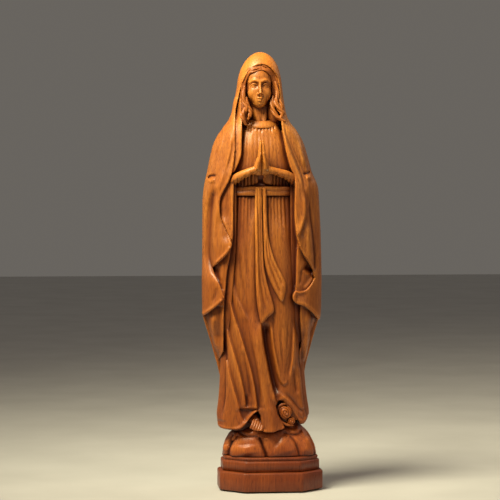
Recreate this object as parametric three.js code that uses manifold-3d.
// A carved and joined beech statue: a veiled standing figure with praying hands, on a rocky mound
// and an octagonal plinth. Millimetres, +Z up, the figure faces -Y, the origin is under the middle.
// "left" and "right" are the figure's own, so the left hand is on +X.
import * as THREE from 'three';
import { mergeVertices } from 'three/addons/utils/BufferGeometryUtils.js';
import Module from 'manifold-3d';

const wasm = await Module();
wasm.setup();

// Driving dimensions.
const GAP = 0.3; // glue line or clearance between two pieces
const SKIN = 0.45; // the same on curved faces, where the facets of two pieces don't line up
const PAD = { inset: 2.5, height: 1 };
const PLINTH = { width: 71, depth: 51.5, corner: 15.4, height: 14, bevel: 0.6 };
const PLINTH_TOP = { width: 66.6, depth: 47.1, corner: 14.4, height: 8, bevel: 0.5 };
const PLINTH_BEAD = { width: 64.4, depth: 44.9, corner: 13.9, height: 2.2, bevel: 0.5 };
const MOUND_FOOT = { width: 60, depth: 42, corner: 14, height: 4, bevel: 0.8 };
const MOUND_CORE = { width: 48, depth: 30, corner: 12, height: 16 };
const MOUND_SEAT = 42; // height of the flat seat that the figure stands on
const FIGURE_X = -6.4; // the figure stands left of the plinth's middle
const HANDS_X = -7.2; // the palms meet here, a little to the right of the body's middle
const SKIRT_TOP = 201.4;
const BELT_HEIGHT = 6.4;
const BODICE_TOP = 250;
const MANTLE_HEM = 66;
const MANTLE_JOINT_Y = 9; // the back panel of the mantle meets its two fronts here
const VEIL_JOINT = 246;
const VEIL_THICKNESS = 3;
const OVERALL_HEIGHT = 300;
const FIGURE_DOWEL = { radius: 3, length: 24, spread: 22, y: 2 };
const WAIST_DOWEL = { radius: 4, from: 184, to: 216 };
const NECK_DOWEL = { radius: 2.5, from: 240, to: 262 };
const WRIST_PIN = { radius: 0.9, inSleeve: 3.4, inHand: 1.6 };
const SCREW = { radius: 2, headRadius: 4, headHeight: 3, tip: 0.4, length: 30, spread: 46 };

// Rows of [height, half width, half depth, centre x, centre y] that the draped bodies pass through.
const TUNIC_LEVELS = [
  [42, 30.5, 20.5, -4.6, 0],
  [54, 30.3, 20.5, -4.6, 0],
  [70, 28.3, 20, -5, 0],
  [100, 26.5, 19, -5.6, 0],
  [150, 23.5, 17.5, -6, 0],
  [203, 18.2, 13.6, -6.4, 0],
  [220, 20.2, 14.5, -6.6, 0],
  [236, 19.5, 13.5, -6.6, 0.5],
  [245, 14.5, 11, -6.5, 1],
  [252, 9, 9, -6.4, 1.5],
];
const MANTLE_LEVELS = [
  [66, 27.5, 21.5, -4.4, 1.5],
  [85, 31, 22.5, -5.2, 1.5],
  [103, 36, 23.5, -5.4, 1.5],
  [119, 41, 24, -5.5, 1.5],
  [144, 41.6, 24, -5.4, 1.5],
  [178, 41.2, 23.8, -5.5, 1.5],
  [206, 38.4, 22.5, -6.5, 1.5],
  [217, 36.4, 21.6, -6.6, 1.5],
  [228, 33.4, 20.4, -7.4, 1.5],
  [238, 30.4, 19.2, -7.6, 1.5],
  [245, 26.8, 18.4, -7.6, 1.5],
  [251, 21.4, 17.8, -7.8, 1.5],
  [257, 18.4, 17.6, -7.4, 1.5],
  [274, 15.9, 16.6, -6.2, 1.5],
  [288, 12.6, 13.6, -5.6, 1.8],
  [296, 7.4, 8.2, -5.4, 2],
  [299.6, 1.8, 2.2, -5.4, 2],
];

// The front edges of the mantle, seen from the front: points [x, height] from neck to hem.
const RIGHT_EDGE = [
  [-23.4, 252], [-24.4, 233], [-24.7, 221], [-34.4, 204], [-35.7, 190], [-27.2, 169],
  [-38.9, 153], [-32.6, 133], [-46.4, 118], [-39.4, 104], [-32.3, 96], [-36.9, 84], [-33.4, 60],
];
const LEFT_EDGE = [
  [6.1, 252], [8.2, 233], [11, 219], [21.6, 207], [23.3, 195], [16.4, 170],
  [29.6, 149], [13.2, 132], [32.4, 117], [24.6, 100], [22.1, 84], [21.1, 60],
];
// The edge of the veil round the face, from the right shoulder over the brow to the left one.
const FACE_EDGE = [
  [-23.6, 240], [-23.6, 262], [-22.2, 274], [-19.2, 282], [-13.2, 288.4], [-5.7, 290.6],
  [1.4, 287.6], [4.8, 282], [6.2, 272], [6.6, 258], [6.6, 240],
];

const root = new THREE.Group();

// ---------------------------------------------------------------- turning geometry into solids

// A closed three.js geometry as a manifold-3d solid.
function solid(geometry) {
  const bare = geometry.index ? geometry.toNonIndexed() : geometry.clone();
  bare.deleteAttribute('normal');
  bare.deleteAttribute('uv');
  const merged = mergeVertices(bare, 1e-4);
  const corners = [];
  for (let i = 0; i < merged.index.count; i += 3) {
    const [a, b, c] = [0, 1, 2].map((k) => merged.index.getX(i + k));
    if (a !== b && b !== c && c !== a) corners.push(a, b, c);
  }
  return new wasm.Manifold(new wasm.Mesh({
    numProp: 3,
    vertProperties: merged.attributes.position.array,
    triVerts: new Uint32Array(corners),
  }));
}

// A manifold-3d solid as a three.js geometry.
function geometryOf(body) {
  const mesh = body.getMesh();
  const geometry = new THREE.BufferGeometry();
  geometry.setAttribute('position', new THREE.BufferAttribute(mesh.vertProperties, 3));
  geometry.setIndex(new THREE.BufferAttribute(mesh.triVerts, 1));
  geometry.computeVertexNormals();
  return geometry;
}

const WOODS = {
  figure: new THREE.MeshStandardMaterial({ color: 0xb5642a, roughness: 0.45, metalness: 0 }),
  base: new THREE.MeshStandardMaterial({ color: 0xa3521f, roughness: 0.45, metalness: 0 }),
  dowel: new THREE.MeshStandardMaterial({ color: 0xd9b98a, roughness: 0.7, metalness: 0 }),
};
const STEEL = new THREE.MeshStandardMaterial({ color: 0x9a9a98, roughness: 0.35, metalness: 1 });
const FELT = new THREE.MeshStandardMaterial({ color: 0x2f3a2c, roughness: 1, metalness: 0 });

function add(name, body, material) {
  const mesh = new THREE.Mesh(geometryOf(body), material);
  mesh.name = name;
  root.add(mesh);
}

// ---------------------------------------------------------------------------- shape generators

// One smooth value per column of the rows, at a height.
function levelAt(rows, z) {
  const last = rows.length - 1;
  let i = rows.findIndex((row) => row[0] > z) - 1;
  if (i === -2) i = last - 1;
  i = Math.max(0, Math.min(last - 1, i));
  const [p, q, r, s] = [i - 1, i, i + 1, i + 2].map((k) => rows[Math.max(0, Math.min(last, k))]);
  const t = Math.max(0, Math.min(1, (z - q[0]) / (r[0] - q[0])));
  return q.slice(1).map((value, k) => {
    const slopeIn = ((r[k + 1] - p[k + 1]) / (r[0] - p[0])) * (r[0] - q[0]);
    const slopeOut = ((s[k + 1] - value) / (s[0] - q[0])) * (r[0] - q[0]);
    const h = t * t * (3 - 2 * t);
    return value + (r[k + 1] - value) * h + slopeIn * t * (1 - t) ** 2 - slopeOut * t * t * (1 - t);
  });
}

// A body that passes through the rows from one height to another, swollen by grow on every side.
// folds(angle, z) gives how far the surface stands proud; angle 0 is the front, positive on +X.
function draped(rows, from, to, { grow = 0, sides = 40, rings = 16, folds = () => 0 } = {}) {
  const low = from - grow;
  const high = to + grow;
  const heights = Array.from({ length: rings + 1 }, (_, i) => low + ((high - low) * i) / rings);
  const profile = [new THREE.Vector2(0, low)];
  for (const z of heights) profile.push(new THREE.Vector2(1, z));
  profile.push(new THREE.Vector2(0, high));
  const geometry = new THREE.LatheGeometry(profile, sides);
  geometry.rotateX(Math.PI / 2);
  const place = geometry.attributes.position;
  for (let i = 0; i < place.count; i++) {
    const z = place.getZ(i);
    const [halfWidth, halfDepth, x, y] = levelAt(rows, z);
    const onAxis = Math.hypot(place.getX(i), place.getY(i)) < 0.5;
    const angle = Math.atan2(place.getX(i), -place.getY(i));
    const proud = onAxis ? 0 : grow + folds(angle, z);
    const reach = onAxis ? 0 : 1;
    const squarer = (v) => Math.sign(v) * Math.abs(v) ** 0.92;
    place.setXYZ(
      i,
      x + reach * (halfWidth + proud) * squarer(Math.sin(angle)),
      y - reach * (halfDepth + proud) * squarer(Math.cos(angle)),
      z,
    );
  }
  return solid(geometry);
}

function ellipsoid(x, y, z, rx, ry, rz, grow = 0, detail = 10) {
  const geometry = new THREE.SphereGeometry(1, detail, Math.ceil(detail * 0.6));
  geometry.rotateX(Math.PI / 2);
  geometry.scale(rx + grow, ry + grow, rz + grow);
  geometry.translate(x, y, z);
  return solid(geometry);
}

// A round bar from one point to another, tapering, with rounded or flat ends.
function bar(from, to, r0, r1, { grow = 0, round = true, sides = 8 } = {}) {
  const a = new THREE.Vector3(...from);
  const b = new THREE.Vector3(...to);
  const way = b.clone().sub(a);
  const length = way.length();
  const cap = (middle, r, sign) => [0, 30, 60].map((degrees) => {
    const turn = (degrees * Math.PI) / 180;
    return new THREE.Vector2(r * Math.cos(turn), middle + sign * r * Math.sin(turn));
  });
  const [low, high] = [r0 + grow, r1 + grow];
  const roundProfile = [
    new THREE.Vector2(0, -low), ...cap(0, low, -1).reverse(),
    ...cap(length, high, 1), new THREE.Vector2(0, length + high),
  ];
  const flatProfile = [
    new THREE.Vector2(0, -grow), new THREE.Vector2(low, -grow),
    new THREE.Vector2(high, length + grow), new THREE.Vector2(0, length + grow),
  ];
  const geometry = new THREE.LatheGeometry(round ? roundProfile : flatProfile, sides);
  geometry.applyQuaternion(new THREE.Quaternion().setFromUnitVectors(new THREE.Vector3(0, 1, 0), way.normalize()));
  geometry.translate(...from);
  return solid(geometry);
}

function upright(x, y, from, to, radius, sides = 12) {
  return bar([x, y, from], [x, y, to], radius, radius, { round: false, sides });
}

function block(x0, x1, y0, y1, z0, z1) {
  const geometry = new THREE.BoxGeometry(x1 - x0, y1 - y0, z1 - z0);
  geometry.translate((x0 + x1) / 2, (y0 + y1) / 2, (z0 + z1) / 2);
  return solid(geometry);
}

// A front-view outline of [x, height] points, cut straight back from y0 to y1.
function frontOutline(points, y0, y1) {
  const shape = new THREE.Shape(points.map(([x, z]) => new THREE.Vector2(x, z)));
  const geometry = new THREE.ExtrudeGeometry(shape, { depth: y1 - y0, bevelEnabled: false });
  geometry.rotateX(Math.PI / 2);
  geometry.translate(0, y1, 0);
  return solid(geometry);
}

function octagon({ width, depth, corner, height, bevel = 0 }, z) {
  const [w, d] = [width / 2 - bevel, depth / 2 - bevel];
  const shape = new THREE.Shape([
    [w - corner, -d], [w, corner - d], [w, d - corner], [w - corner, d],
    [corner - w, d], [-w, d - corner], [-w, corner - d], [corner - w, -d],
  ].map(([x, y]) => new THREE.Vector2(x, y)));
  const geometry = new THREE.ExtrudeGeometry(shape, {
    depth: height - 2 * bevel,
    bevelEnabled: bevel > 0,
    bevelThickness: bevel,
    bevelSize: bevel,
    bevelSegments: 1,
  });
  geometry.translate(0, 0, z + bevel);
  return solid(geometry);
}

// ------------------------------------------------------------------------------- base and joints

const plinthTopFrom = PLINTH.height + GAP;
const beadFrom = plinthTopFrom + PLINTH_TOP.height - 0.5;
const moundFrom = beadFrom + PLINTH_BEAD.height + GAP;
const screwFrom = PAD.height + GAP;
const screwTo = PAD.height + SCREW.length;

function screw(x) {
  const { radius, headRadius, headHeight, tip } = SCREW;
  const flat = { round: false, sides: 12 };
  const head = bar([x, 0, screwFrom], [x, 0, screwFrom + headHeight], headRadius, radius, flat);
  const shank = bar([x, 0, screwFrom + 1], [x, 0, screwTo - 4], radius, radius, flat);
  const point = bar([x, 0, screwTo - 4.5], [x, 0, screwTo], radius, tip, flat);
  const slot = block(x - headRadius, x + headRadius, -0.5, 0.5, PAD.height, screwFrom + 1);
  return wasm.Manifold.union([head, shank, point]).subtract(slot);
}

function screwHole(x) {
  const { radius, headRadius, headHeight } = SCREW;
  const sink = bar([x, 0, PAD.height - 1], [x, 0, screwFrom + headHeight + 0.4], headRadius + 1.4,
    radius + GAP, { round: false, sides: 12 });
  return sink.add(upright(x, 0, PAD.height, screwTo + GAP, radius + GAP));
}

const screwSides = [['left', SCREW.spread / 2], ['right', -SCREW.spread / 2]];
const screwHoles = wasm.Manifold.union(screwSides.map(([, x]) => screwHole(x)));

const dowelSides = [
  ['left', FIGURE_X + FIGURE_DOWEL.spread / 2],
  ['right', FIGURE_X - FIGURE_DOWEL.spread / 2],
];
const figureDowel = (x, grow = 0) => upright(x, FIGURE_DOWEL.y, MOUND_SEAT - FIGURE_DOWEL.length / 2 - grow,
  MOUND_SEAT + FIGURE_DOWEL.length / 2 + grow, FIGURE_DOWEL.radius + grow);
const dowelHoles = wasm.Manifold.union(dowelSides.map(([, x]) => figureDowel(x, GAP)));

function buildPlinth() {
  const pad = {
    width: PLINTH.width - 2 * PAD.inset,
    depth: PLINTH.depth - 2 * PAD.inset,
    corner: PLINTH.corner - PAD.inset / 2,
    height: PAD.height - 0.1,
  };
  add('felt_pad', octagon(pad, 0), FELT);
  const base = { ...PLINTH, height: PLINTH.height - PAD.height };
  add('plinth_base', octagon(base, PAD.height).subtract(screwHoles), WOODS.base);
  const step = octagon(PLINTH_TOP, plinthTopFrom);
  const bead = octagon(PLINTH_BEAD, beadFrom);
  add('plinth_top', step.add(bead).subtract(screwHoles), WOODS.base);
  for (const [side, x] of screwSides) add(`plinth_screw_${side}`, screw(x), STEEL);
}

// Rounded boulders round the seat: [x, y, z, rx, ry, rz].
const BOULDERS = [
  [-25, -9, 28, 7.6, 9, 13], [-15.5, -13, 29, 11.6, 8.6, 11.4], [7.5, -13.5, 29, 12.2, 8.2, 12.8],
  [23.5, -8, 29, 8.2, 10, 14], [-25, 8, 28, 7.6, 10, 12], [-11, 13, 29, 14, 8.6, 12],
  [11, 13, 29, 12.4, 8.6, 12.4], [23.5, 9, 28, 8.2, 10, 12], [0, 0, 31, 21, 15, 13],
];

function buildMound() {
  const boulders = wasm.Manifold.union(BOULDERS.map((b) => ellipsoid(...b)));
  const middle = octagon(MOUND_FOOT, moundFrom).add(octagon(MOUND_CORE, moundFrom));
  const keep = block(-PLINTH.width / 2, PLINTH.width / 2, -PLINTH.depth / 2, PLINTH.depth / 2,
    moundFrom, MOUND_SEAT);
  const mound = boulders.add(middle).intersect(keep);
  add('rock_mound', mound.subtract(screwHoles).subtract(dowelHoles), WOODS.base);
  for (const [side, x] of dowelSides) add(`figure_dowel_${side}`, figureDowel(x), WOODS.dowel);
}

// --------------------------------------------------------------------------------- feet and rose

// The right foot steps out under the lifted hem, turned a little inwards, with five toes.
const FOOT = { heel: [-16.4, -9, 48], ball: [-13.8, -18.6, 46.2], toe: 2.9, spacing: 1.35 };

function foot(grow = 0) {
  const { heel, ball, toe, spacing } = FOOT;
  const parts = [bar(heel, ball, 4.4, 3.2, { grow })];
  for (let i = 0; i < 5; i++) {
    const x = ball[0] + (i - 1.6) * spacing;
    const reach = toe + 0.35 * i;
    parts.push(bar([x, ball[1] - 0.8, ball[2] - 0.2], [x + 0.5, ball[1] - reach, ball[2] - 1.6],
      1.15, 0.95, { grow, sides: 6 }));
  }
  return wasm.Manifold.union(parts);
}

const seatCut = block(-40, 40, -40, 40, 20, MOUND_SEAT + GAP);

// The rose beside the left shin: a rolled heart in a ring of petals, and a bud below it.
const ROSE = { x: 7.8, y: -19, z: 54, heart: 2.6, petal: 2.2, ring: 2.9, petals: 5 };

function rose(grow = 0) {
  const { x, y, z, heart, petal, ring, petals } = ROSE;
  const parts = [
    ellipsoid(x, y, z, heart, heart, heart, grow, 8),
    ellipsoid(x + 4.6, y + 0.4, z - 4.6, 2.4, 2.2, 2.4, grow, 8),
  ];
  for (let i = 0; i < petals; i++) {
    const turn = (i * 2 * Math.PI) / petals;
    const [px, pz] = [x + ring * Math.cos(turn), z + ring * Math.sin(turn)];
    parts.push(ellipsoid(px, y + 1, pz, petal, 1.6, petal, grow, 6));
  }
  return wasm.Manifold.union(parts);
}

function buildFeet() {
  add('foot_right', foot().subtract(seatCut), WOODS.figure);
  add('foot_rose', rose().subtract(skirt(SKIN)), WOODS.figure);
}

// ------------------------------------------------------------------------------------- the tunic

const waistDowel = (grow) => upright(FIGURE_X, 1, WAIST_DOWEL.from - grow, WAIST_DOWEL.to + grow,
  WAIST_DOWEL.radius + grow);
const neckDowel = (grow) => upright(FIGURE_X, 1.5, NECK_DOWEL.from - grow, NECK_DOWEL.to + grow,
  NECK_DOWEL.radius + grow);

const FOLDS = { depth: 1.1, count: 9, behind: 0.6, fade: 60 };
const skirtFolds = (angle, z) => {
  const depth = FOLDS.depth * Math.min(1, (SKIRT_TOP + 4 - z) / FOLDS.fade);
  return depth * Math.cos(FOLDS.count * angle + 0.02 * z) * (Math.cos(angle) > 0 ? 1 : FOLDS.behind);
};

// The hem lifts in two arches at the front, over the right foot and over the rose.
const FOOT_ARCH = [[-25.3, 38], [-19.8, 46], [-15.8, 52.5], [-10.8, 56], [-8.2, 50], [-7.8, 38]];
const ROSE_ARCH = [[5.2, 38], [3.2, 50], [2.6, 59], [5.6, 62.6], [11.2, 59.5], [16.2, 52], [18.2, 44], [19.2, 38]];
const archCuts = frontOutline(FOOT_ARCH, -40, -11).add(frontOutline(ROSE_ARCH, -40, -15.5));

const skirt = (grow = 0) => draped(TUNIC_LEVELS, MOUND_SEAT + GAP, SKIRT_TOP,
  { grow, sides: 36, rings: 9, folds: skirtFolds }).subtract(archCuts);
const bodice = (grow = 0) => draped(TUNIC_LEVELS, SKIRT_TOP + BELT_HEIGHT + 2 * GAP, BODICE_TOP,
  { grow, rings: 5, sides: 24 });
// Everything that the mantle has to clear: the whole tunic with its belt.
const tunic = (grow) => draped(TUNIC_LEVELS, 30, BODICE_TOP - 1, {
  grow,
  rings: 14,
  sides: 24,
  folds: (angle, z) => 0.4 * skirtFolds(angle, z) + 1.5 + 1.5 * Math.exp(-(((z - 205) / 7) ** 2)),
});

const SASH_THICKNESS = 2.4;

// A strip of the sash that lies on the skirt: points [x, height] down its middle, and half widths.
function sashTail(points, widths) {
  const outline = points.map(([x, z], i) => [x + widths[i], z])
    .concat(points.map(([x, z], i) => [x - widths[i], z]).reverse());
  const strip = frontOutline(outline, -40, 0);
  return draped(TUNIC_LEVELS, 100, SKIRT_TOP - 1, { grow: SASH_THICKNESS, rings: 9, sides: 36, folds: skirtFolds })
    .intersect(strip).subtract(skirt(SKIN));
}

const belt = (grow = 0) => draped(TUNIC_LEVELS, SKIRT_TOP + GAP, SKIRT_TOP + GAP + BELT_HEIGHT,
  { grow, rings: 3, sides: 30, folds: (angle, z) => 1.2 - 0.25 * Math.abs(z - SKIRT_TOP - BELT_HEIGHT / 2) });

function buildTunic() {
  const longTail = sashTail([[-10.3, 200], [-10.1, 165], [-8.3, 140], [-3.7, 119]], [2.9, 2.8, 3.6, 3.6]);
  const shortTail = sashTail([[-5.3, 200], [-3.5, 165], [1.5, 147], [6.3, 131]], [1, 2, 3.6, 3]);
  add('tunic_skirt', skirt().subtract(waistDowel(GAP)).subtract(dowelHoles).subtract(foot(SKIN)), WOODS.figure);
  add('tunic_bodice', bodice().subtract(waistDowel(GAP)).subtract(neckDowel(GAP)), WOODS.figure);
  add('waist_belt', belt().subtract(waistDowel(GAP)), WOODS.figure);
  add('sash_long_tail', longTail, WOODS.figure);
  add('sash_short_tail', shortTail, WOODS.figure);
  add('waist_dowel', waistDowel(0), WOODS.dowel);
}

// A soft ring round the neck opening, resting on the bodice.
function collar(grow = 0) {
  const ring = new THREE.TorusGeometry(8.6, 1.5 + grow, 6, 18);
  ring.scale(1, 0.95, 1);
  ring.translate(FIGURE_X, 1, BODICE_TOP + GAP + 1.8);
  return solid(ring);
}

// ------------------------------------------------------------------------------ arms and hands

// The forearms rise from inside the mantle, and the wide cuffs hang below them.
const SLEEVES = {
  right: { elbow: [-28.6, -8, 209], wrist: [-13.5, -19.4, 217.6], hang: [-22.6, -13, 208.6] },
  left: { elbow: [14.6, -8, 209], wrist: [-0.9, -19.4, 217.6], hang: [9, -13, 208.6] },
};
const HAND_TIP = [HANDS_X, -21.6, 239.6];

function sleeve(side, grow = 0) {
  const { elbow, wrist, hang } = SLEEVES[side];
  return bar(elbow, wrist, 6.4, 4.6, { grow, sides: 10 }).add(ellipsoid(...hang, 6, 6.4, 5.6, grow, 10));
}

function wristPin(side, grow = 0) {
  const wrist = new THREE.Vector3(...SLEEVES[side].wrist);
  const way = wrist.clone().sub(new THREE.Vector3(...SLEEVES[side].elbow)).normalize();
  const face = wrist.clone().addScaledVector(way, 3.6);
  const from = face.clone().addScaledVector(way, -WRIST_PIN.inSleeve).toArray();
  const to = face.clone().addScaledVector(way, WRIST_PIN.inHand).toArray();
  return bar(from, to, WRIST_PIN.radius, WRIST_PIN.radius, { grow, round: false });
}

// Seen from the front a hand is a narrow wedge; its four fingers lie one behind the other.
const FINGERS = { radius: 1.25, tip: 0.85, spacing: 1.4, reach: [10, 11.2, 10.2, 8] };

function hand(side, grow = 0) {
  const sign = side === 'left' ? 1 : -1;
  const knuckles = [HANDS_X + sign * 2.4, -21.6, 228.5];
  const parts = [bar([HANDS_X + sign * 4, -19.6, 219], knuckles, 3, 2.3, { grow })];
  FINGERS.reach.forEach((reach, i) => {
    const back = (i - 1.5) * FINGERS.spacing;
    parts.push(bar(
      [HANDS_X + sign * 1.9, knuckles[1] + back, knuckles[2]],
      [HAND_TIP[0] + sign * 1.15, HAND_TIP[1] + back, knuckles[2] + reach],
      FINGERS.radius, FINGERS.tip, { grow, sides: 6 }));
  });
  parts.push(bar([knuckles[0], -23.2, 223.6], [HANDS_X + sign * 1.6, -25, 230.6], 1.3, 0.95, { grow, sides: 6 }));
  const half = sign > 0 ? [HANDS_X + GAP / 2, 20] : [-40, HANDS_X - GAP / 2];
  return wasm.Manifold.union(parts).intersect(block(...half, -40, 0, 205, 245));
}

function buildArms(mantleCut) {
  for (const side of ['left', 'right']) {
    const body = wasm.Manifold.union([bodice(SKIN), belt(SKIN), hand(side, SKIN), wristPin(side, GAP)]);
    add(`sleeve_${side}`, sleeve(side).subtract(body).subtract(mantleCut), WOODS.figure);
    add(`hand_${side}`, hand(side).subtract(bodice(SKIN)).subtract(wristPin(side, GAP)), WOODS.figure);
    add(`wrist_pin_${side}`, wristPin(side), WOODS.dowel);
  }
}

// ---------------------------------------------------------------------------------- head and hair

const HEAD = { x: -7.4, y: -1.5, z: 278, halfWidth: 9.8, halfDepth: 11.6, halfHeight: 15.8 };
const NECK_RADIUS = 6;

function head(grow = 0) {
  const { x, y, z, halfWidth, halfDepth, halfHeight } = HEAD;
  return wasm.Manifold.union([
    ellipsoid(x, y + 1.5, z + 2.5, halfWidth, halfDepth, halfHeight - 2.5, grow, 16),
    ellipsoid(x, y - 3, z - 6, halfWidth - 1.8, halfDepth - 4, halfHeight - 5.2, grow, 14),
    bar([x, y - 9.2, z + 2], [x, y - 11.4, z - 4.4], 0.8, 1.5, { grow, sides: 6 }),
    bar([FIGURE_X, 1.5, BODICE_TOP + GAP], [x, 0.5, z - 8], NECK_RADIUS, NECK_RADIUS,
      { grow: grow / 2, round: false, sides: 14 }),
  ]);
}

// Waved locks beside the face, from the temple to the collar bone.
const LOCKS = {
  right: [[-15.6, -6, 284, 1.8], [-17.6, -7.4, 272, 2], [-17, -9, 262, 2.2], [-18, -10.4, 252, 2.4]],
  left: [[0.8, -6, 284, 1.8], [3, -7.4, 272, 2], [2.4, -9, 262, 2.4], [3.4, -10.4, 253, 2.6]],
};

function hair(side, grow = 0) {
  const lock = LOCKS[side];
  return wasm.Manifold.union(lock.slice(1).map(([x, y, z, r], i) => bar(
    lock[i].slice(0, 3), [x, y, z], lock[i][3], r, { grow, sides: 7 })));
}

function buildHead() {
  const below = bodice(SKIN).add(collar(SKIN));
  const neckless = below.add(head(SKIN));
  add('head', head().subtract(neckDowel(GAP)).subtract(below), WOODS.figure);
  add('neckline_collar', collar(), WOODS.figure);
  add('neck_dowel', neckDowel(0), WOODS.dowel);
  for (const side of ['left', 'right']) add(`hair_${side}`, hair(side).subtract(neckless), WOODS.figure);
}

// --------------------------------------------------------------------------------- veil and mantle

const faceOpening = frontOutline(FACE_EDGE, -40, -3);
const frontOpening = frontOutline(RIGHT_EDGE.concat([...LEFT_EDGE].reverse()), -40, 4);
const veilFolds = (angle, z) => (z < 240 ? 0.9 * Math.cos(7 * angle) * Math.min(1, (240 - z) / 60) : 0);
const cloak = (grow, from, to) => draped(MANTLE_LEVELS, from, to,
  { grow, rings: 10, sides: 32, folds: veilFolds });

function mantleBody() {
  const inside = wasm.Manifold.union([
    tunic(SKIN), head(SKIN), collar(SKIN), hair('left', SKIN), hair('right', SKIN),
    ...['left', 'right'].flatMap((side) => [sleeve(side, SKIN), hand(side, SKIN)]),
  ]);
  return cloak(0, MANTLE_HEM, VEIL_JOINT - GAP).subtract(inside).subtract(frontOpening);
}

function largestOf(body) {
  return body.decompose().sort((a, b) => b.volume() - a.volume())[0];
}

function buildMantle() {
  const mantle = mantleBody();
  const backPart = block(-80, 80, MANTLE_JOINT_Y, 60, 0, 400);
  add('mantle_back', largestOf(mantle.intersect(backPart)), WOODS.figure);
  const leftPart = block(FIGURE_X + GAP, 80, -60, MANTLE_JOINT_Y - GAP, 0, 400);
  const rightPart = block(-80, FIGURE_X - GAP, -60, MANTLE_JOINT_Y - GAP, 0, 400);
  add('mantle_left', largestOf(mantle.intersect(leftPart)), WOODS.figure);
  add('mantle_right', largestOf(mantle.intersect(rightPart)), WOODS.figure);
}

function buildVeil() {
  const lining = draped(MANTLE_LEVELS, VEIL_JOINT - 5, OVERALL_HEIGHT - VEIL_THICKNESS,
    { grow: -VEIL_THICKNESS, rings: 8, sides: 22 });
  const inside = wasm.Manifold.union([lining, head(SKIN), hair('left', SKIN), hair('right', SKIN)]);
  const hood = draped(MANTLE_LEVELS, VEIL_JOINT, OVERALL_HEIGHT, { rings: 10, sides: 28 });
  add('veil', largestOf(hood.subtract(inside).subtract(faceOpening)), WOODS.figure);
}

buildPlinth();
buildMound();
buildFeet();
buildTunic();
buildArms(cloak(SKIN, MANTLE_HEM, VEIL_JOINT).subtract(frontOpening));
buildHead();
buildMantle();
buildVeil();

export default root;
